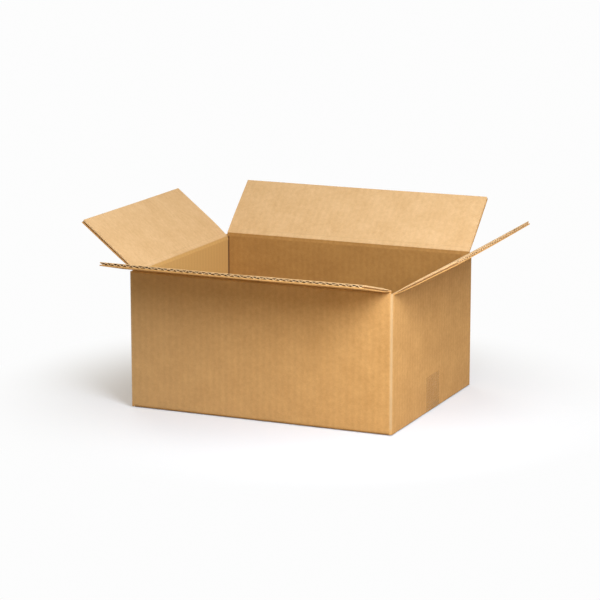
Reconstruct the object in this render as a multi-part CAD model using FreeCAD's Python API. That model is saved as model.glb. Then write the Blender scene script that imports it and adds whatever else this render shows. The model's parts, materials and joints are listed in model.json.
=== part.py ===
import FreeCAD, Part
import math
import os

# An open carton of corrugated board: one sheet, folded and glued into a tray with four walls, with
# its bottom flaps folded in and taped, and its four top flaps standing open.
# Frame in millimetres: +X along the long side, +Y from the front wall to the back wall, +Z up.
# The origin is the middle of the footprint, on the surface that the carton stands on.

# Outer size of the carton
length = 380.0
width = 304.0
height = 192.5

# Board: two flat facings with a fluted sheet between them, and the flutes run up the walls
board = 5.0
facing = 0.5
fluted_sheet = 0.4
flute_pitch = 9.2
flank_angle = 55.0
crest_chords = 3

# Folds: a folded edge is round outside, and a score line is crushed flat
corner_radius = 4.0
score_crush = 6.0
fold_play = 0.3

# Top flaps: the long walls carry the outer pair, and the short walls the inner pair below it
flap_depth = 97.0
outer_slot = 3.0
inner_slot = 0.5
open_limit = 120.0
front_flap_angle = 14.0
back_flap_angle = 42.0
left_flap_angle = 38.5
right_flap_angle = 29.0

# Glue tab: it grows from the left wall and lies on the inside of the front wall
tab_width = 35.0
tab_slant = 15.0
tab_clearance = 2.0
corner_web = 0.4

# Bottom seam and the tape that closes it
seam_gap = 1.0
tape_width = 48.0
tape_thickness = 0.1
tape_tail = 50.0

# Worked out from the sizes above
half_length = length / 2
half_width = width / 2
half_board = board / 2
cavity = board - 2 * facing
score_step = board + fold_play
outer_score = height
inner_score = height - score_step
floor_low = tape_thickness
wall_low = floor_low + score_step + board
inner_inset = board + inner_slot
tab_inset = 2 * board + inner_slot


def point(x, y, z):
    return FreeCAD.Vector(x, y, z)


def straight(points):
    """A chain of straight edges through the points."""
    return [Part.makeLine(a, b) for a, b in zip(points, points[1:])]


def arc(start, middle, end):
    return Part.Arc(start, middle, end).toShape()


def round_corner(centre, radius, first_angle):
    """A quarter circle in a level plane, anticlockwise from the first angle in degrees."""
    angles = [math.radians(first_angle + turn) for turn in (0, 45, 90)]
    return arc(*[centre + point(radius * math.cos(a), radius * math.sin(a), 0) for a in angles])


def solid_box(low, high):
    size = high - low
    return Part.makeBox(size.x, size.y, size.z, low)


# Walls: a ring of board with three round folded corners and the glued corner at the front left

def wall_ring():
    x = half_length
    y = half_width
    z = wall_low
    r = corner_radius
    tab_fold = point(-x + board, -y + 2 * board, z)
    tab_bend = tab_fold + point(-board, -board, 0) * math.sqrt(0.5)
    web_end = point(-x + board - corner_web, -y + board, z)
    edges = straight([web_end, point(-x, -y + board, z), point(-x, -y, z), point(x - r, -y, z)])
    edges.append(round_corner(point(x - r, -y + r, z), r, 270))
    edges += straight([point(x, -y + r, z), point(x, y - r, z)])
    edges.append(round_corner(point(x - r, y - r, z), r, 0))
    edges += straight([point(x - r, y, z), point(-x + r, y, z)])
    edges.append(round_corner(point(-x + r, y - r, z), r, 90))
    edges += straight([point(-x, y - r, z), point(-x, -y + 2 * board, z)])
    edges.append(arc(point(-x, -y + 2 * board, z), tab_bend, web_end))
    tall = inner_score - wall_low
    ring = Part.Face(Part.Wire(edges)).extrude(point(0, 0, tall))
    hollow = solid_box(point(-x + board, -y + board, z), point(x - board, y - board, z + tall))
    return ring.cut(hollow)


def glue_tab():
    x = -half_length + board
    y = -half_width + board
    low = wall_low + tab_clearance
    high = inner_score - half_board - tab_clearance
    slant = tab_width * math.tan(math.radians(tab_slant))
    corners = [
        point(x, y, low),
        point(x + tab_width, y, low + slant),
        point(x + tab_width, y, high - slant),
        point(x, y, high),
    ]
    outline = Part.makePolygon(corners + corners[:1])
    return Part.Face(outline).extrude(point(0, board, 0))


# Score lines: each wall ends in a round bead about its fold line, which the flap turns on

def outer_bead(side):
    """Top of a long wall: it stands one board above the short walls, so its flap closes on top."""
    reach = half_length - outer_slot
    middle = side * (half_width - half_board)
    strip = solid_box(
        point(-reach, middle - half_board, inner_score),
        point(reach, middle + half_board, outer_score),
    )
    start = point(-reach, middle, outer_score)
    return strip.fuse(Part.makeCylinder(half_board, 2 * reach, start, point(1, 0, 0)))


def inner_bead(side, front_inset):
    """Top of a short wall, between the slots beside its flap."""
    start = -half_width + front_inset
    end = half_width - inner_inset
    middle = side * (half_length - half_board)
    base = point(middle, start, inner_score)
    return Part.makeCylinder(half_board, end - start, base, point(0, 1, 0))


# Bottom: the short walls' flaps lie inside, and the long walls' flaps meet below them

def folded_foot(outside, low, inside, span):
    """A wall's round lower fold and its flap, along X from zero, with the flap pointing to +Y."""
    bend = point(0, outside + board, low)
    around = [math.radians(turn) for turn in (180, 225, 270)]
    on_bend = [bend + point(0, board * math.cos(a), board * math.sin(a)) for a in around]
    flap = straight([on_bend[2], point(0, inside, low - board), point(0, inside, low), bend, on_bend[0]])
    return Part.Face(Part.Wire(flap + [arc(*on_bend)])).extrude(point(span, 0, 0))


def outer_bottom_flap(side):
    reach = half_length - outer_slot
    low = wall_low - score_step
    flap = folded_foot(-half_width, low, -seam_gap / 2, 2 * reach)
    wall = solid_box(point(0, -half_width, low), point(2 * reach, -half_width + board, wall_low))
    flap = flap.fuse(wall)
    flap.translate(point(-reach, 0, 0))
    if side > 0:
        flap.rotate(point(0, 0, 0), point(0, 0, 1), 180)
    return flap


def inner_bottom_flap(side, front_inset):
    start = -half_width + front_inset
    end = half_width - inner_inset
    flap = folded_foot(-half_length, wall_low, -half_length + half_width, end - start)
    flap.rotate(point(0, 0, 0), point(0, 0, 1), side * 90)
    flap.translate(point(0, start if side > 0 else end, 0))
    return flap


def box_body():
    pieces = [glue_tab()]
    for side, front_inset in ((-1, tab_inset), (1, inner_inset)):
        pieces.append(outer_bead(side))
        pieces.append(inner_bead(side, front_inset))
        pieces.append(outer_bottom_flap(side))
        pieces.append(inner_bottom_flap(side, front_inset))
    return wall_ring().fuse(pieces).removeSplitter()


# Flutes: channels with a round crest between the facings, open at the free edge of a flap

def flute_channel(middle, side, pitch):
    """Section of one channel: its flat side on one facing, its round crest by the other."""
    flank = math.radians(flank_angle)
    half_wall = fluted_sheet / 2 / math.sin(flank)
    crest = cavity - fluted_sheet
    line = (pitch / 4 - half_wall) * math.sin(flank) + cavity / 2 * math.cos(flank)
    radius = (line - crest * math.cos(flank)) / (1 - math.cos(flank))
    foot = line / math.sin(flank)
    turns = [flank * (1 - 2 * n / crest_chords) for n in range(crest_chords + 1)]
    on_crest = [(radius * math.sin(a), crest - radius * (1 - math.cos(a))) for a in turns]
    section = [(-foot, 0), (foot, 0)] + on_crest
    corners = [point(middle + run, 0, side * (cavity / 2 - rise)) for run, rise in section]
    return Part.Face(Part.makePolygon(corners + corners[:1]))


def fluted_board(span, depth):
    """Board as wide as the span, with whole flutes across it and its side edges cut through one."""
    flutes = round(span / flute_pitch)
    pitch = span / flutes
    corners = [
        point(0, 0, -half_board),
        point(span, 0, -half_board),
        point(span, 0, half_board),
        point(0, 0, half_board),
    ]
    outline = Part.makePolygon(corners + corners[:1])
    channels = [flute_channel((n + 0.5) * pitch, -1, pitch) for n in range(flutes)]
    channels += [flute_channel(n * pitch, 1, pitch) for n in range(flutes + 1)]
    section = Part.Face(outline).cut(channels)
    return section.extrude(point(0, depth, 0))


def wall_at_limit(span, near):
    """The room that the wall takes, seen from a flap folded out as far as it goes."""
    reach = 2 * (near + score_crush)
    room = solid_box(point(0, -reach, -reach), point(span, near, 0))
    room.rotate(point(0, 0, 0), point(1, 0, 0), open_limit - 90)
    return room


def top_flap(span, depth, angle):
    """A flap whose fold line is the X axis: it runs out along Y and rises by the given angle."""
    near = half_board + fold_play
    crushed_end = near + score_crush
    fluted = fluted_board(span, depth - crushed_end)
    fluted.translate(point(0, crushed_end, 0))
    crushed = solid_box(point(0, near, -half_board), point(span, crushed_end, half_board))
    flap = fluted.fuse(crushed).cut(wall_at_limit(span, near)).removeSplitter()
    flap.rotate(point(0, 0, 0), point(1, 0, 0), angle)
    return flap


def placed_flap(turn, start, end, depth, angle):
    """A top flap set on its wall: the turn is its outward heading, from start to end of its fold."""
    flap = top_flap(start.distanceToPoint(end), depth, angle)
    flap.rotate(point(0, 0, 0), point(0, 0, 1), turn)
    flap.translate(start)
    return flap


def top_flaps():
    long_reach = half_length - outer_slot
    short_front = -half_width + inner_inset
    short_front_by_tab = -half_width + tab_inset
    short_back = half_width - inner_inset
    y = half_width - half_board
    x = half_length - half_board
    inner_depth = flap_depth + score_step
    front = (point(long_reach, -y, outer_score), point(-long_reach, -y, outer_score))
    back = (point(-long_reach, y, outer_score), point(long_reach, y, outer_score))
    left = (point(-x, short_front_by_tab, inner_score), point(-x, short_back, inner_score))
    right = (point(x, short_back, inner_score), point(x, short_front, inner_score))
    return {
        "top_flap_front": placed_flap(180, *front, flap_depth, front_flap_angle),
        "top_flap_back": placed_flap(0, *back, flap_depth, back_flap_angle),
        "top_flap_left": placed_flap(90, *left, inner_depth, left_flap_angle),
        "top_flap_right": placed_flap(-90, *right, inner_depth, right_flap_angle),
    }


# Tape: one strip along the bottom seam, turned up both short walls

def tape_line(offset):
    """The strip's path in the middle plane, moved outwards by the offset, as a list of edges."""
    x = half_length
    bend = outer_slot
    radius = bend + offset
    centre_z = floor_low + bend
    half_turn = radius * math.sqrt(0.5)
    left_top = point(-x - offset, 0, tape_tail)
    left_bend = point(-x - offset, 0, centre_z)
    left_floor = point(-x + bend, 0, centre_z - radius)
    right_floor = point(x - bend, 0, centre_z - radius)
    right_bend = point(x + offset, 0, centre_z)
    right_top = point(x + offset, 0, tape_tail)
    edges = straight([left_top, left_bend])
    edges.append(arc(left_bend, point(-x + bend - half_turn, 0, centre_z - half_turn), left_floor))
    edges += straight([left_floor, right_floor])
    edges.append(arc(right_floor, point(x - bend + half_turn, 0, centre_z - half_turn), right_bend))
    edges += straight([right_bend, right_top])
    return edges


def packing_tape():
    inner = tape_line(0)
    outer = tape_line(tape_thickness)
    ends = [
        Part.makeLine(inner[0].Vertexes[0].Point, outer[0].Vertexes[0].Point),
        Part.makeLine(inner[-1].Vertexes[-1].Point, outer[-1].Vertexes[-1].Point),
    ]
    section = Part.Face(Part.Wire(Part.__sortEdges__(inner + outer + ends)))
    tape = section.extrude(point(0, tape_width, 0))
    tape.translate(point(0, -tape_width / 2, 0))
    return tape


os.makedirs("parts", exist_ok=True)
nodes = {"box_body": box_body(), "packing_tape": packing_tape()}
nodes.update(top_flaps())
for name, shape in nodes.items():
    shape.exportStep(f"parts/{name}.step")
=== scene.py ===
import bpy
import bmesh
import math
from mathutils import Matrix, Vector
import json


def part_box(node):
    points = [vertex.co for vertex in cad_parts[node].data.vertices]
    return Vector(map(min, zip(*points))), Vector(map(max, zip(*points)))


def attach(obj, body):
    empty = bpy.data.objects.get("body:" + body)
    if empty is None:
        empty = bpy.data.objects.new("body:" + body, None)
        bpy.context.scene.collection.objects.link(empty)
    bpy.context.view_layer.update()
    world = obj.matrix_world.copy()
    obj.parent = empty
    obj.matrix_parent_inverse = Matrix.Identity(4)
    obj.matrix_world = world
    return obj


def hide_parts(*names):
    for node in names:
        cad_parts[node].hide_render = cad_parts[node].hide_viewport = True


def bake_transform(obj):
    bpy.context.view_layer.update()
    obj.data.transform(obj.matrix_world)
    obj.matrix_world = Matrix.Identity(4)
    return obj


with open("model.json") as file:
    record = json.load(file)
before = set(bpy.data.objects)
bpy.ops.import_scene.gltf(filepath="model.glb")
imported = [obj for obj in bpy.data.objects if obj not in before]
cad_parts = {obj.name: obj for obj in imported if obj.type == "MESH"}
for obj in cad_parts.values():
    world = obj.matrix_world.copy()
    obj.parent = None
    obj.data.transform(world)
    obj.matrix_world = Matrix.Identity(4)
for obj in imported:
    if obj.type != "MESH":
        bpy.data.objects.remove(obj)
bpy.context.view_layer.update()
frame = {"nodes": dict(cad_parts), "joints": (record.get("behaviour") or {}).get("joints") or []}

# Facings of the carton below its top score lines: four walls, the glue tab and the bottom flaps.
# They are two sheets of brown kraft liner, with a waved paper glued between them. The board is die
# cut and creased flat, then folded round, glued at one corner and shut below.

mm = 0.001
joints = {joint["name"]: joint for joint in frame["joints"]}
body_low, body_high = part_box("box_body")
outer_score = joints["front_flap_fold"]["pos_m"][2]
inner_score = joints["left_flap_fold"]["pos_m"][2]
half_length = body_high.x
half_width = body_high.y
floor_low = body_low.z
half_board = body_high.z - outer_score
board = 2 * half_board
score_step = outer_score - inner_score
wall_low = floor_low + score_step + board
outer_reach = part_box("top_flap_front")[1].x
right_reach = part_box("top_flap_right")[1].y
left_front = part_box("top_flap_left")[0].y
flute_pitch = 9.2 * mm
corner_radius = 4 * mm
crease_strip = 2.5 * mm
tab_width = 35 * mm
tab_end_share = 0.86
seam_half_gap = 0.5 * mm
slot_rise = 2.2 * mm
lip_radius = 1.1 * mm
lip_middle = 2.6 * mm
# How high up the bottom folds the painted contact shade reaches.
contact_shade_top = 2.8 * mm
wall_rows = 16
flap_rows = 6
bend_steps = 6
# Real liner is about 0.3 mm thick. It is drawn thicker, so that the cut edges show as such.
facing = 0.8 * mm
# The slack for picking vertices by their place.
hair = 0.1 * mm


def only_select(piece):
    """Makes the piece the only one that an operator acts on."""
    bpy.ops.object.select_all(action="DESELECT")
    piece.select_set(True)
    bpy.context.view_layer.objects.active = piece


def select_where(piece, test):
    """Selects the vertices of the piece in edit mode whose place passes the test."""
    mesh = bmesh.from_edit_mesh(piece.data)
    for vertex in mesh.verts:
        vertex.select = test(vertex.co)
    mesh.select_flush(False)
    mesh.select_flush(True)
    bmesh.update_edit_mesh(piece.data)


def near(a, b, slack=2 * hair):
    return abs(a - b) < slack


def draw_out(*move):
    """Extrudes the selected edges by a move along X, Y and Z."""
    bpy.ops.mesh.extrude_region_move(TRANSFORM_OT_translate={"value": move})


def fold_round(centre, axis, degrees):
    """Extrudes the selected edges round a fold line."""
    bpy.ops.mesh.spin(steps=bend_steps, angle=-math.radians(degrees), center=centre, axis=axis)


def edit_grid(name, columns, rows, size, centre, upright):
    """A flat grid in edit mode, upright facing the front or lying down."""
    bpy.ops.object.select_all(action="DESELECT")
    tilt = math.pi / 2 if upright else 0
    bpy.ops.mesh.primitive_grid_add(
        x_subdivisions=columns, y_subdivisions=rows, size=1, calc_uvs=False, rotation=(tilt, 0, 0)
    )
    grid = bpy.context.object
    grid.name = name
    grid.scale = (*size, 1)
    grid.location = centre
    bpy.ops.object.transform_apply(location=True, rotation=True, scale=True)
    bpy.ops.object.mode_set(mode="EDIT")
    bpy.ops.mesh.select_mode(type="VERT")
    return grid


def run_round(sheet, at, places):
    """Draws the sheet on along the walls, from its edge at one place through the others."""
    select_where(sheet, lambda place: near(place.x, at[0]) and near(place.y, at[1]))
    for place in places:
        draw_out(place[0] - at[0], place[1] - at[1], 0)
        at = place


def first_strip(name, y):
    """The first stretch of a facing, from the front wall's cut edge at the glued corner."""
    high = inner_score - score_step
    size = (half_length - outer_reach, high - wall_low)
    centre = (-(half_length + outer_reach) / 2, y, (high + wall_low) / 2)
    return edit_grid(name, 1, wall_rows, size, centre, upright=True)


def outer_facing():
    """The outer sheet: front, right, back and left wall with round folds, then the glue tab."""
    x = half_length - facing / 2
    y = half_width - facing / 2
    bend_x = half_length - corner_radius
    bend_y = half_width - corner_radius
    tab_x = half_length - board
    tab_y = half_width - 2 * board
    sheet = first_strip("carton_outer_facing", -y)
    run_round(sheet, (-outer_reach, -y), [(bend_x - crease_strip, -y), (bend_x, -y)])
    fold_round((bend_x, -bend_y, 0), (0, 0, 1), 90)
    run_round(sheet, (x, -bend_y), [(x, -right_reach), (x, right_reach), (x, bend_y)])
    fold_round((bend_x, bend_y, 0), (0, 0, 1), 90)
    back = [(bend_x - crease_strip, y), (-bend_x + crease_strip, y), (-bend_x, y)]
    run_round(sheet, (bend_x, y), back)
    fold_round((-bend_x, bend_y, 0), (0, 0, 1), 90)
    run_round(sheet, (-x, bend_y), [(-x, right_reach), (-x, left_front), (-x, -tab_y)])
    fold_round((-tab_x, -tab_y, 0), (0, 0, 1), 90)
    glued_y = -tab_y - board + facing / 2
    tab = [(-tab_x + crease_strip, glued_y), (-tab_x + tab_width, glued_y)]
    run_round(sheet, (-tab_x, glued_y), tab)
    return sheet


def inner_facing():
    """The inner sheet, the same way round with sharp folds."""
    x = half_length - board + facing / 2
    y = half_width - board + facing / 2
    tab_y = half_width - 2 * board + facing / 2
    sheet = first_strip("carton_inner_facing", -y)
    front = [(x - crease_strip, -y), (x, -y)]
    right = [(x, -right_reach), (x, right_reach), (x, y)]
    back = [(x - crease_strip, y), (-x + crease_strip, y), (-x, y)]
    left = [(-x, right_reach), (-x, left_front), (-x, -tab_y)]
    tab = [(-x + crease_strip, -tab_y), (-half_length + board + tab_width, -tab_y)]
    run_round(sheet, (-outer_reach, -y), front + right + back + left + tab)
    return sheet


def raise_to_scores(sheet):
    """Draws the walls up to the floor of the slots, leaving room for the short walls' flaps."""
    low = inner_score - score_step

    def beside_flaps(place):
        between_long_walls = abs(place.y) < half_width - board - mm
        on_short_wall = abs(place.x) > half_length - board - mm and between_long_walls
        return near(place.z, low) and not on_short_wall

    select_where(sheet, beside_flaps)
    draw_out(0, 0, score_step)

    def in_slot(place):
        past_flaps = abs(place.x) > outer_reach - hair and abs(place.y) > right_reach - hair
        return near(place.z, inner_score) and past_flaps

    select_where(sheet, in_slot)
    draw_out(0, 0, slot_rise)


def taper_tab(sheet):
    """Narrows the free end of the glue tab, so that it keeps clear of the flaps."""
    end = -half_length + board + tab_width
    select_where(sheet, lambda place: near(place.x, end) and place.y > -half_width + board - facing)
    middle = (0, 0, (wall_low + inner_score) / 2)
    bpy.ops.transform.resize(value=(1, 1, tab_end_share), center_override=middle)


def hang_lip(sheet):
    """Draws the short walls and corners down, where the crushed fold bulges below its score."""
    bend_x = half_length - corner_radius

    def beside_long_flaps(place):
        on_long_wall = abs(place.y) > half_width - mm and abs(place.x) < bend_x - hair
        return near(place.z, wall_low) and not on_long_wall

    select_where(sheet, beside_long_flaps)
    draw_out(0, 0, lip_middle - wall_low)
    select_where(sheet, lambda place: near(place.z, lip_middle) and abs(place.y) > right_reach - hair)
    draw_out(0, 0, -lip_radius)


def fold_bottom(sheet, away, low):
    """Folds the bottom flaps in: the long walls' pair lowest, and the short walls' pair on it.

    away is how deep the sheet lies in the board, and low is where its short walls end. The outer
    sheet of a short wall bulges below its flap's level, so it turns up again to reach it.
    """
    for side in (-1, 1):
        y = side * (half_width - away)
        fold_level = floor_low + board

        def under_long_wall(place):
            return near(place.y, y) and near(place.z, wall_low) and abs(place.x) < outer_reach + mm

        select_where(sheet, under_long_wall)
        draw_out(0, 0, fold_level - wall_low)
        fold_round((0, side * (half_width - board), fold_level), (1, 0, 0), -side * 90)
        for row in range(flap_rows):
            draw_out(0, -side * (half_width - board - seam_half_gap) / flap_rows, 0)
    for side, front_end in ((-1, left_front), (1, -right_reach)):
        x = side * (half_length - away)

        def under_short_wall(place):
            in_reach = front_end - 2 * hair < place.y < right_reach + 2 * hair
            return near(place.x, x) and near(place.z, low) and in_reach

        select_where(sheet, under_short_wall)
        if low < wall_low:
            fold_round((x - side * lip_radius, 0, low), (0, 1, 0), side * 180)
            draw_out(0, 0, wall_low - board + away - low)
            start = half_length - away - 2 * lip_radius
        else:
            fold_round((side * (half_length - board), 0, wall_low), (0, 1, 0), side * 90)
            start = half_length - board
        end = half_length - half_width
        for row in range(flap_rows):
            draw_out(-side * (start - end) / flap_rows, 0, 0)


def thicken(sheet, thickness):
    """Gives a sheet its paper's thickness; the cut edges take the second material."""
    only_select(sheet)
    paper = sheet.modifiers.new("paper", "SOLIDIFY")
    paper.thickness = thickness
    paper.offset = 0
    paper.material_offset_rim = 1
    bpy.ops.object.modifier_apply(modifier=paper.name)


def across_flutes(x, y):
    """Distance along the unrolled walls of a place on them, from the front wall round to the tab."""
    if x / half_length > y / half_width:
        return x + y + half_width
    saved_at_corner = corner_radius * (2 - math.sqrt(2))
    return 2 * (half_length + half_width - saved_at_corner) + half_width - x - y


def unrolled(place):
    """A place's coordinates in the flat carton: across the flutes, and along them."""
    x, y, z = place
    in_long_flaps = abs(y) < half_width - board and abs(x) < outer_reach + 3 * hair
    in_short_flaps = abs(x) < half_length - board and abs(y) < right_reach + 3 * hair
    if z < wall_low - board + hair and in_long_flaps:
        return across_flutes(x, math.copysign(half_width, y)), z - half_width + abs(y)
    if z < wall_low + hair and in_short_flaps:
        return across_flutes(math.copysign(half_length, x), y), z - half_length + abs(x)
    return across_flutes(x, y), z


def lay_out(sheet, flat):
    """Writes the flat carton's coordinates, in metres, as the UV map that materials use."""
    layer = sheet.data.uv_layers.new(name="board")
    for loop in sheet.data.loops:
        layer.data[loop.index].uv = flat(sheet.data.vertices[loop.vertex_index].co)


def mark_creases(sheet, share):
    """Writes how pale each vertex is, with wear and painted highlight, or if negative, its painted
    shade.
    """
    layer = sheet.data.attributes.new("crease", "FLOAT", "POINT")
    for vertex in sheet.data.vertices:
        layer.data[vertex.index].value = share(vertex.co)


def in_upright_fold(place):
    """Painted shade along the sharp inside of the upright corners."""
    corner_shade = -1.8
    x = half_length - board + facing / 2 - abs(place.x)
    y = half_width - board + facing / 2 - abs(place.y)
    return corner_shade if abs(x) < facing and abs(y) < facing else 0.0


def on_outer_fold(place):
    """Pale on the rounded upright corners, from wear and a painted highlight, and dark with painted
    shade along the bottom folds, where the carton meets the floor.
    """
    contact_shade = -2.0
    x = abs(place.x) - half_length + corner_radius
    y = abs(place.y) - half_width + corner_radius
    if place.z < contact_shade_top and max(x, y) > corner_radius - 2 * lip_radius - facing:
        return contact_shade * (1 - place.z / contact_shade_top)
    return 2 * x * y / (x * x + y * y) if x > 0 and y > 0 else 0.0


def linear(colour):
    """A material colour from its sRGB hex code."""
    parts = [int(colour[n : n + 2], 16) / 255 for n in (0, 2, 4)]
    return (*[c / 12.92 if c <= 0.04045 else ((c + 0.055) / 1.055) ** 2.4 for c in parts], 1)


def new_material(name):
    """An empty node material and its output node."""
    material = bpy.data.materials.new(name)
    material.use_nodes = True
    material.node_tree.nodes.clear()
    return material, material.node_tree.nodes.new("ShaderNodeOutputMaterial")


def node(tree, kind, settings=None, **inputs):
    """Adds a node; an input is a value, or a socket of another node to link from.

    n0, n1 and so on name an input by its number. A Mix node takes its share as n0 and its two
    colours as n6 and n7.
    """
    made = tree.nodes.new("ShaderNode" + kind)
    for setting, value in (settings or {}).items():
        setattr(made, setting, value)
    for key, value in inputs.items():
        numbered = key[0] == "n" and key[1:].isdigit()
        socket = made.inputs[int(key[1:]) if numbered else key.replace("_", " ")]
        if isinstance(value, bpy.types.NodeSocket):
            tree.links.new(value, socket)
        else:
            socket.default_value = value
    return made


colour_mix = {"data_type": "RGBA"}
colour_product = {"data_type": "RGBA", "blend_type": "MULTIPLY"}


def kraft_paper(name, dark, light, ribbed, painted_light_from=None):
    """Unbleached kraft paper, rolled dry from long softwood fibres.

    The eye gets a matt brown that clouds over some 33 mm and blotches over some 6 mm, fibres that
    lie across the flutes, as the paper ran through its machine, and faint ribs where the fluting
    prints through a facing. Real fibres are far too fine to show, so they are drawn about 3 mm
    long and 0.6 mm wide. The brown lies between dark and light. The last argument is the place
    across the flat carton, in mm, where a dark line of painted shade runs along a fold's inside
    corner, and past which the sheet is painted paler, as painted light where a lamp reaches it.
    """
    clouds_per_mm = 0.03
    blotches_per_mm = 0.16
    fibres_per_mm = (0.35, 1.6, 1)
    wander = 0.9
    rib_shade_strength = 0.026 * ribbed
    painted_light_after = 2
    shade_line_core, shade_line_end = 0.8, 2.0

    material, output = new_material(name)
    tree = material.node_tree
    flat = node(tree, "UVMap", {"uv_map": "board"}).outputs["UV"]
    in_mm = node(tree, "VectorMath", {"operation": "MULTIPLY"}, n0=flat, n1=(1 / mm, 1 / mm, 0))
    place = in_mm.outputs[0]
    cloud = node(tree, "TexNoise", Vector=place, Scale=clouds_per_mm, Detail=4.0, Roughness=0.6)
    blotch = node(tree, "TexNoise", Vector=place, Scale=blotches_per_mm, Detail=4.0, Roughness=0.65)
    long_way = node(tree, "Mapping", Vector=place, Scale=fibres_per_mm).outputs[0]
    fibre = node(tree, "TexNoise", Vector=long_way, Scale=1.0, Detail=5.0, Roughness=0.75).outputs[0]

    scale_and_add = {"operation": "MULTIPLY_ADD"}
    cloudy = node(tree, "Math", scale_and_add, n0=blotch.outputs[0], n1=0.5, n2=0.0)
    cloudy = node(tree, "Math", scale_and_add, n0=cloud.outputs[0], n1=0.5, n2=cloudy.outputs[0])
    tone = node(tree, "MapRange", Value=cloudy.outputs[0], From_Min=0.36, From_Max=0.64)
    stock = node(tree, "Mix", colour_mix, n0=tone.outputs[0], n6=linear(dark), n7=linear(light))
    fibre_tone = node(
        tree, "MapRange", Value=fibre, From_Min=0.3, From_Max=0.7, To_Min=0.88, To_Max=1.12
    )
    stock = node(
        tree, "Mix", colour_product, n0=1.0, n6=stock.outputs[2], n7=fibre_tone.outputs[0]
    )

    across = node(tree, "SeparateXYZ", n0=place).outputs[0]
    # Past the given place the sheet is painted paler, as painted light, and a dark line of painted
    # shade runs along the corner there.
    if painted_light_from:
        painted_light_at = painted_light_from + painted_light_after
        paler = node(tree, "MapRange", Value=across, From_Min=painted_light_from, From_Max=painted_light_at)
        stock = node(
            tree, "Mix", colour_mix, n0=paler.outputs[0], n6=stock.outputs[2], n7=linear("C59A59")
        )
        off = node(tree, "Math", {"operation": "SUBTRACT"}, n0=across, n1=painted_light_from)
        off = node(tree, "Math", {"operation": "ABSOLUTE"}, n0=off.outputs[0])
        line = node(
            tree, "MapRange", Value=off.outputs[0], From_Min=shade_line_core, From_Max=shade_line_end,
            To_Min=0.85, To_Max=0.0,
        )
        stock = node(
            tree, "Mix", colour_mix, n0=line.outputs[0], n6=stock.outputs[2], n7=linear("5A3A1C")
        )

    uneven = node(tree, "MapRange", Value=blotch.outputs[0], To_Min=-wander, To_Max=wander)
    per_mm = 2 * math.pi / (flute_pitch / mm)
    turn = node(tree, "Math", scale_and_add, n0=across, n1=per_mm, n2=uneven.outputs[0])
    rib = node(tree, "Math", {"operation": "SINE"}, n0=turn.outputs[0]).outputs[0]
    # The ribs are also painted into the colour as faint light and dark stripes, as painted shade of
    # their relief, besides their bump.
    rib_shade = node(
        tree, "MapRange", Value=rib, From_Min=-1.0, To_Min=1 - rib_shade_strength, To_Max=1 + rib_shade_strength
    )
    stock = node(tree, "Mix", colour_product, n0=1.0, n6=stock.outputs[2], n7=rib_shade.outputs[0])

    crease = node(tree, "Attribute", {"attribute_name": "crease"}).outputs["Fac"]
    clamped = {"operation": "MULTIPLY", "use_clamp": True}
    # Pale where worn, with a painted highlight, and dark where the mark is negative, with painted
    # shade.
    for strength, colour in ((0.5, "AE9B7C"), (-0.5, "6E4A26")):
        share = node(tree, "Math", clamped, n0=crease, n1=strength).outputs[0]
        stock = node(tree, "Mix", colour_mix, n0=share, n6=stock.outputs[2], n7=linear(colour))

    rib_rise = 0.35 * ribbed
    height = node(tree, "Math", scale_and_add, n0=rib, n1=rib_rise, n2=fibre)
    bump = node(tree, "Bump", Strength=0.35, Distance=0.12 * mm, Height=height.outputs[0])
    paper = node(
        tree, "BsdfPrincipled", Base_Color=stock.outputs[2], Roughness=0.78, Normal=bump.outputs[0]
    )
    paper.inputs["Specular IOR Level"].default_value = 0.5
    tree.links.new(paper.outputs[0], output.inputs[0])
    return material


def dress(piece, *materials):
    """Gives a piece its materials, in the order of their slots."""
    for material in materials:
        piece.data.materials.append(material)


# The outer facing's smooth side is turned out: an even mid brown with upright ribs.
liner = kraft_paper("kraft liner", "B18449", "C29458", 1.0)
# The inner facing inside the walls is painted a deeper brown, as painted shade, and paler along
# the left wall past its corner, as painted light where the key lamp reaches it.
left_corner = across_flutes(-half_length, half_width) / mm
shaded_liner = kraft_paper("kraft liner, inside the walls, painted shade", "986C32", "A77B3D", 1.0, left_corner)
# The die's knife bares torn fibres, which look paler and greyer than the paper's faces.
cut_liner = kraft_paper("cut kraft edge", "D4BC98", "E4CEAC", 0.0)

for make_facing, away in ((outer_facing, facing / 2), (inner_facing, board - facing / 2)):
    sheet = make_facing()
    raise_to_scores(sheet)
    taper_tab(sheet)
    if make_facing is outer_facing:
        hang_lip(sheet)
        fold_bottom(sheet, away, lip_middle)
    else:
        fold_bottom(sheet, away, wall_low)
    bpy.ops.object.mode_set(mode="OBJECT")
    thicken(sheet, facing)
    lay_out(sheet, unrolled)
    mark_creases(sheet, on_outer_fold if make_facing is outer_facing else in_upright_fold)
    dress(sheet, liner if make_facing is outer_facing else shaded_liner, cut_liner)
    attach(sheet, "carton")
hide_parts("box_body")

# Fluting of the walls and the bottom flaps: the waved paper between the facings. It is rough brown
# paper, pressed to waves between hot gear rolls and glued to the facings at its crests. Its waves
# run up the walls, so they show where a flap is cut across.

# Real fluting paper is about 0.25 mm thick, and it too is drawn thicker.
fluted_sheet = 0.7 * mm
flute_columns = 12
crushed_run = 9 * mm
bend_reach = 3 * mm
# The fluting ends this far inside the facings' cut edges.
core_play = 0.2 * mm
wave_height = half_board - facing - fluted_sheet / 2


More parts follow.
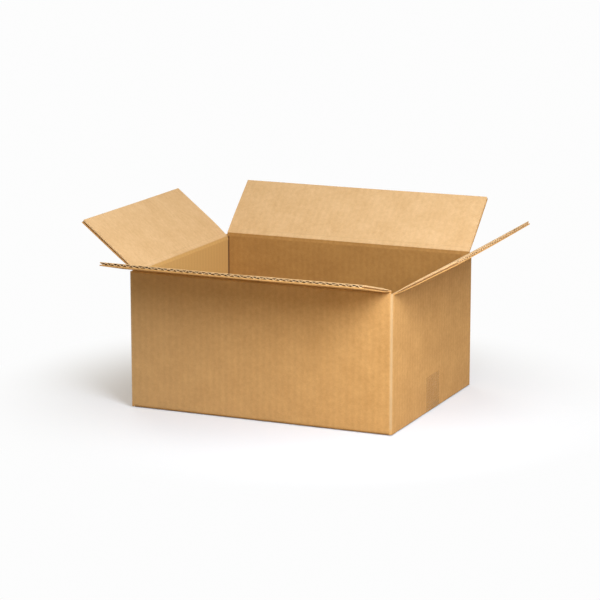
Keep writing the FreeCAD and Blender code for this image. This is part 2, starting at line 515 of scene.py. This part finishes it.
def waved_sheet(name, start, end, runs, height=wave_height, middle=0):
    """A waved sheet lying flat: its waves follow each other along X, and run along Y.

    Over a fold it is flat, because the score line has crushed it, and beyond it the waves rise to
    their whole height.
    """
    flutes = round((end - start) / flute_pitch)
    pitch = (end - start) / flutes
    size = (pitch, runs[1] - runs[0])
    centre = (start + pitch / 2, (runs[0] + runs[1]) / 2, 0)
    sheet = edit_grid(name, flute_columns, 1, size, centre, upright=False)
    select_where(sheet, lambda place: near(place.y, runs[1]))
    for before, after in zip(runs[1:], runs[2:]):
        draw_out(0, after - before, 0)
    bpy.ops.object.mode_set(mode="OBJECT")
    for vertex in sheet.data.vertices:
        crush = min(max((vertex.co.y - bend_reach) / (crushed_run - bend_reach), 0), 1)
        turn = 2 * math.pi * (vertex.co.x - start) / pitch
        vertex.co.z = height * math.cos(turn) * crush + middle
    repeat = sheet.modifiers.new("flutes", "ARRAY")
    repeat.count = flutes
    repeat.use_relative_offset = False
    repeat.use_constant_offset = True
    repeat.constant_offset_displace = (pitch, 0, 0)
    repeat.use_merge_vertices = True
    repeat.merge_threshold = 0.01 * mm
    bpy.ops.object.modifier_apply(modifier=repeat.name)
    thicken(sheet, fluted_sheet)
    return sheet


def stand(sheet, turn, place):
    """Stands a flat sheet up, turns it about the vertical and moves it to its place."""
    upright = Matrix.Rotation(math.pi / 2, 4, "X")
    turned = Matrix.Rotation(math.radians(turn), 4, "Z") @ upright
    sheet.data.transform(Matrix.Translation(place) @ turned)


def dress_fluting(medium, body="carton"):
    """Gives a waved sheet its place in the flat carton, its two materials and its body."""
    if "board" not in medium.data.uv_layers:
        lay_out(medium, lambda place: (place.x + place.y, place.z))
    dress(medium, fluting_paper, cut_fluting)
    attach(medium, body)


# Fluting paper is unsized and rough: a pale brown with no ribs of its own, in and at the edge.
fluting_paper = kraft_paper("fluting paper", "CDA878", "DEBC8C", 0.0)
cut_fluting = kraft_paper("cut fluting", "C8A87C", "DCC096", 0.0)
wall_mid_x = half_length - half_board
wall_mid_y = half_width - half_board
wall_flutes = {
    "front": (-half_length + mm, half_length - corner_radius, 0, (0, -wall_mid_y, 0)),
    "right": (-half_width + board, half_width - board, 90, (wall_mid_x, 0, 0)),
    "back": (-half_length + corner_radius, half_length - corner_radius, 0, (0, wall_mid_y, 0)),
    "left": (-half_width + 2 * board, half_width - board, 90, (-wall_mid_x, 0, 0)),
}
for side, (start, end, turn, place) in wall_flutes.items():
    wall_high = inner_score if side in ("front", "back") else inner_score - score_step
    runs = [wall_low, wall_high - core_play]
    medium = waved_sheet("carton_fluting_" + side, start, end, runs)
    stand(medium, turn, place)
    dress_fluting(medium)

for side in (-1, 1):
    run = [crushed_run, half_width - seam_half_gap - core_play]
    long_medium = waved_sheet("bottom_fluting_long" + str(side), -outer_reach, outer_reach, run)
    long_medium.data.transform(Matrix.Translation((0, -half_width, floor_low + half_board)))
    long_medium.data.transform(Matrix.Rotation(0 if side < 0 else math.pi, 4, "Z"))
    dress_fluting(long_medium)
    run = [crushed_run, half_width - core_play]
    short_medium = waved_sheet("bottom_fluting_short" + str(side), -right_reach, right_reach, run)
    short_medium.data.transform(Matrix.Translation((0, -half_length, wall_low - half_board)))
    short_medium.data.transform(Matrix.Rotation(side * math.pi / 2, 4, "Z"))
    dress_fluting(short_medium)

# Top flaps: four rectangles of the same board, each joined to its wall by a creased score line.
# The facings run on from the wall over the fold, and the crease is pressed into the inner one;
# the die's knife cuts the other three edges, where the fluting shows between the facings.

# The rows of a flap's sheet, in mm from its fold line: across the bend, and then over the groove.
across_bend = (-5.3, -4.2, -3.4, -2.6, -1.8, -1.2, -0.6, 0, 0.6, 1.2, 1.8, 2.6, 3.4)
over_groove = (4.4, 5.2, 5.8, 6.4, 7.2, 8.4)
fold_runs = [run * mm for run in across_bend]
groove_runs = [run * mm for run in over_groove]
groove_middle = 5.8 * mm
groove_half = 1.6 * mm
groove_depth = 0.35 * mm
# How dark the painted shade in the score line's groove is.
groove_shade_strength = -0.3
flap_columns = 24
free_rows = 8
first_open_run = 8 * mm
# The dressed flap ends this far inside the solid's free edge, so that its thicker paper fits.
edge_play = 0.45 * mm
# The outer facing is the thickest line of a flap's cut edge, so it is drawn thicker still.
outer_paper = 1.5 * mm
# The board at the score line is crushed to this share of its thickness, and recovers over the fade.
fold_thickness = 0.45
crush_fade = 30 * mm
# Each flap's free edge bows down a little at its middle, along a wave of 17 radians a metre.
flap_bow = 0.5 * mm
bow_per_metre = 17
wall_shade_slot = 2


def flap_sheet(name, start, end, runs, level, thickness):
    """A sheet of a flap, flat along X: its first rows, at a negative Y, stay on the wall."""
    size = (end - start, runs[1] - runs[0])
    centre = ((start + end) / 2, (runs[0] + runs[1]) / 2, level)
    sheet = edit_grid(name, flap_columns, 1, size, centre, upright=False)
    select_where(sheet, lambda place: near(place.y, runs[1]))
    for before, after in zip(runs[1:], runs[2:]):
        draw_out(0, after - before, 0)
    bpy.ops.object.mode_set(mode="OBJECT")
    thicken(sheet, thickness)
    return sheet


def press_crease(sheet):
    """Presses the score line's groove into a flat inner facing."""
    for vertex in sheet.data.vertices:
        off = min(abs(vertex.co.y - groove_middle) / groove_half, 1)
        vertex.co.z -= groove_depth * (1 + math.cos(math.pi * off)) / 2


def shade_below_fold(sheet):
    """Gives the wall's part of a flat inner facing the material of the walls' inside, with its
    painted shade.
    """
    for face in sheet.data.polygons:
        if face.center.y < -3 * hair:
            face.material_index = wall_shade_slot


def groove_shade(place):
    """Painted shade in the groove of a flat inner facing."""
    return groove_shade_strength if near(place.y, groove_middle, 3 * hair) else 0.0


def eased(share):
    """A share from 0 to 1 that starts and ends smoothly."""
    return share * share * (3 - 2 * share)


def fold_out(piece, turn, twist, depth):
    """Folds a flat flap's sheet outwards about the X axis by the turn, easing over the bend.

    The twist is added towards one side of the flap and taken off towards the other.
    """
    for vertex in piece.data.vertices:
        along, run, level = vertex.co
        reach = min(abs(run) / (crush_fade if run > 0 else score_step), 1)
        level *= fold_thickness + (1 - fold_thickness) * eased(reach)
        crest = 0.5 + 0.5 * math.cos(along * bow_per_metre)
        level -= flap_bow * (max(run, 0) / depth) ** 2 * crest
        share = min(max((run + bend_reach) / (2 * bend_reach), 0), 1)
        angle = (turn + twist * along / half_width) * eased(share)
        into = level * math.cos(angle) - run * math.sin(angle)
        up = level * math.sin(angle) + run * math.cos(angle)
        vertex.co = (along, into, up)


def flap_depth(name, turn):
    """Depth of a flap from its fold line, worked out from the reach and rise of the CAD flap."""
    low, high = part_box("top_flap_" + name)
    fold = Vector(joints[name + "_flap_fold"]["pos_m"])
    reach_x = max(high.x - fold.x, fold.x - low.x)
    reach_y = max(high.y - fold.y, fold.y - low.y)
    out = reach_x if fold.x else reach_y
    up = high.z - fold.z
    depth = out * math.sin(turn) + up * math.cos(turn) - board * math.sin(turn) * math.cos(turn)
    return depth - edge_play


def top_flap(name, heading, start, end, twist=0, lean=0):
    """One flap, modelled flat along X, folded out and turned to its wall.

    It has an inner and an outer facing, waves between them, and a crushed core over its fold.
    """
    body = "top_flap_" + name
    joint = joints[name + "_flap_fold"]
    fold = Vector(joint["pos_m"])
    turn = math.radians(joint["range_deg"][1] - 90)
    depth = flap_depth(name, turn)
    level = half_board - facing / 2
    last = groove_runs[-1]
    free_runs = [last + (depth - last) * (n + 1) / free_rows for n in range(free_rows)]
    runs = fold_runs + groove_runs + free_runs
    inner = flap_sheet(body + "_inner_facing", start, end, runs, level, facing)
    press_crease(inner)
    shade_below_fold(inner)
    outer_level = outer_paper / 2 - half_board
    outer = flap_sheet(body + "_outer_facing", start, end, runs, outer_level, outer_paper)
    core_runs = fold_runs + groove_runs
    core_thickness = board - 2 * facing - groove_depth
    core_ends = (start + core_play, end - core_play)
    core = flap_sheet(
        body + "_crushed_fluting", *core_ends, core_runs, -groove_depth / 2, core_thickness
    )
    open_runs = [crushed_run + first_open_run, depth - fluted_sheet / 2]
    medium_runs = [crushed_run - mm, crushed_run] + open_runs
    thicker = (outer_paper - facing) / 2
    medium = waved_sheet(body + "_fluting", start, end, medium_runs, wave_height - thicker, thicker)
    to_wall = Matrix.Translation(fold) @ Matrix.Rotation(math.radians(heading), 4, "Z")

    def flat(place):
        below = to_wall @ Vector((place.x, -half_board, 0))
        return across_flutes(below.x, below.y), fold.z + place.y

    for piece in (inner, outer, core, medium):
        lay_out(piece, flat)
        mark_creases(piece, groove_shade if piece is inner else lambda place: 0.0)
        fold_out(piece, turn + math.radians(lean), math.radians(twist), depth)
        piece.data.transform(to_wall)
    dress_fluting(medium, body)
    for piece in (inner, outer, core):
        dress(piece, lit_flap_liner if piece is inner else liner, cut_liner, shaded_liner)
        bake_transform(piece)
    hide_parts(body)


# The flaps show the inner facing's rough side, the same paper as inside the walls. It is painted
# a paler brown with weak ribs, as painted light where the lamps fall full on it.
lit_flap_liner = kraft_paper("kraft liner, inner side, painted light", "C5A06F", "D3B081", 0.5)
top_flap("front", 0, -outer_reach, outer_reach)
top_flap("back", 180, -outer_reach, outer_reach)
top_flap("left", -90, -right_reach, -left_front)
# The right flap is warped: its far side stands 2.4 degrees higher than its near side.
top_flap("right", 90, -right_reach, right_reach, twist=-1.2, lean=-1.2)

# Packing tape: one strip of clear brown film, 48 mm wide, along the bottom seam and up both end
# walls. It is polypropylene film with glue on one side, pulled off a roll and rubbed down by hand.

# The film darkens the board a little and shines more than the paper, rippled over some 17 mm.
tape_film, film_output = new_material("clear brown film")
film_tree = tape_film.node_tree
film_place = node(film_tree, "TexCoord").outputs["Object"]
ripples_per_metre = 60.0
film_noise = node(film_tree, "TexNoise", Vector=film_place, Scale=ripples_per_metre, Detail=3.0)
film_bump = node(film_tree, "Bump", Strength=0.2, Distance=0.2 * mm, Height=film_noise.outputs[0])
film = node(film_tree, "BsdfPrincipled", Base_Color=linear("9C7A50"), Roughness=0.3, Alpha=0.08)
film_tree.links.new(film_bump.outputs[0], film.inputs["Normal"])
film_tree.links.new(film.outputs[0], film_output.inputs[0])
tape = frame["nodes"]["packing_tape"]
tape.data.materials.clear()
dress(tape, tape_film)

# Studio: a pale floor, a soft key lamp at the front right, a dim overhead light, a fill lamp behind
# at the left and a dim surround that is seen as white. The floor keeps the carton's soft shadow.

floor_size = 40
floor_gap = 0.2 * mm
shadow_radius = 0.2
white_radius = 0.48
white_in_shadow = 0.22
key_place = Vector((0.72, -0.74, 0.72))
fill_place = (-1.1, 1.2, 0.9)
camera_place = Vector((1.30612, -2.99586, 0.8317))
camera_aim = Vector((-0.01666, 0.02295, 0.13016))
focal_length = 145.43


def look_at(thing, place, aim):
    """Puts a lamp or the camera at a place, pointed at its aim."""
    thing.location = place
    thing.rotation_euler = (Vector(aim) - Vector(place)).to_track_quat("-Z", "Y").to_euler()


def seen_or_mirrored(tree):
    """1 for what the camera sees, directly, mirrored or through glass, and 0 for light."""
    rays = node(tree, "LightPath")
    either = {"operation": "ADD", "use_clamp": True}
    camera_ray, mirror_ray = rays.outputs["Is Camera Ray"], rays.outputs["Is Glossy Ray"]
    mirrored = node(tree, "Math", either, n0=camera_ray, n1=mirror_ray).outputs[0]
    glass_ray = rays.outputs["Is Transmission Ray"]
    return node(tree, "Math", either, n0=mirrored, n1=glass_ray).outputs[0]


bpy.ops.object.select_all(action="DESELECT")
bpy.ops.mesh.primitive_plane_add(size=floor_size, location=(0, 0, -floor_gap))
floor = bpy.context.object
floor.name = "studio_floor"
# Matt white paint: the floor takes the soft shadow near the carton and turns to plain white away
# from it, while the light that it throws back is the same all over.
floor_paint, floor_output = new_material("matt white floor paint")
floor_tree = floor_paint.node_tree
floor_place = node(floor_tree, "TexCoord").outputs["Object"]
away_from_box = node(floor_tree, "VectorMath", {"operation": "LENGTH"}, n0=floor_place)
share_of_white = node(
    floor_tree, "MapRange", {"interpolation_type": "SMOOTHSTEP"}, Value=away_from_box.outputs[1],
    From_Min=shadow_radius, From_Max=white_radius, To_Min=white_in_shadow,
).outputs[0]
seen = seen_or_mirrored(floor_tree)
white_share = node(floor_tree, "Math", {"operation": "MULTIPLY"}, n0=share_of_white, n1=seen)
throws_back, looks = linear("CBC1AB"), linear("DFE2E7")
floor_colours = node(floor_tree, "Mix", colour_mix, n0=seen, n6=throws_back, n7=looks)
floor_look = node(floor_tree, "BsdfDiffuse", Color=floor_colours.outputs[2], Roughness=0.0)
paper_white = node(floor_tree, "Emission", Color=(1, 1, 1, 1), Strength=0.98).outputs[0]
floor_mix = node(floor_tree, "MixShader", n0=white_share.outputs[0], n1=floor_look.outputs[0])
floor_tree.links.new(paper_white, floor_mix.inputs[2])
floor_tree.links.new(floor_mix.outputs[0], floor_output.inputs[0])
dress(floor, floor_paint)


def add_lamp(name, kind, place, aim, **settings):
    """A lamp with its settings, which the camera doesn't see."""
    data = bpy.data.lights.new(name, kind)
    for setting, value in settings.items():
        setattr(data, setting, value)
    lamp = bpy.data.objects.new(name, data)
    bpy.context.collection.objects.link(lamp)
    look_at(lamp, place, aim)
    lamp.visible_camera = False
    return lamp


box_middle = (0, 0, 0.1)
soft = math.radians(80)
cool, warm, creamy = (1, 1.05, 1.15), (1, 0.93, 0.8), (1, 0.97, 0.9)
add_lamp("key_lamp", "AREA", key_place, box_middle, shape="DISK", size=0.55, energy=16.3, color=cool)
add_lamp("overhead", "SUN", (0.3, -0.5, 3), (0, 0, 0), angle=soft, energy=1.2, color=warm)
add_lamp("fill_lamp", "AREA", fill_place, box_middle, shape="DISK", size=1.0, energy=8, color=creamy)

world = bpy.data.worlds.new("studio_surround")
bpy.context.scene.world = world
world.use_nodes = True
world_tree = world.node_tree
world_tree.nodes.clear()
even = node(world_tree, "Background", Color=linear("FFE7BC"), Strength=0.18)
white = node(world_tree, "Background", Color=(1, 1, 1, 1), Strength=1.0)
seen = seen_or_mirrored(world_tree)
surround = node(world_tree, "MixShader", n0=seen, n1=even.outputs[0], n2=white.outputs[0])
node(world_tree, "OutputWorld", n0=surround.outputs[0])

camera_data = bpy.data.cameras.new("camera")
camera = bpy.data.objects.new("camera", camera_data)
bpy.context.collection.objects.link(camera)
look_at(camera, camera_place, camera_aim)
camera_data.lens = focal_length
camera_data.sensor_width = 36
bpy.context.scene.camera = camera
bpy.context.scene.view_settings.view_transform = "Standard"
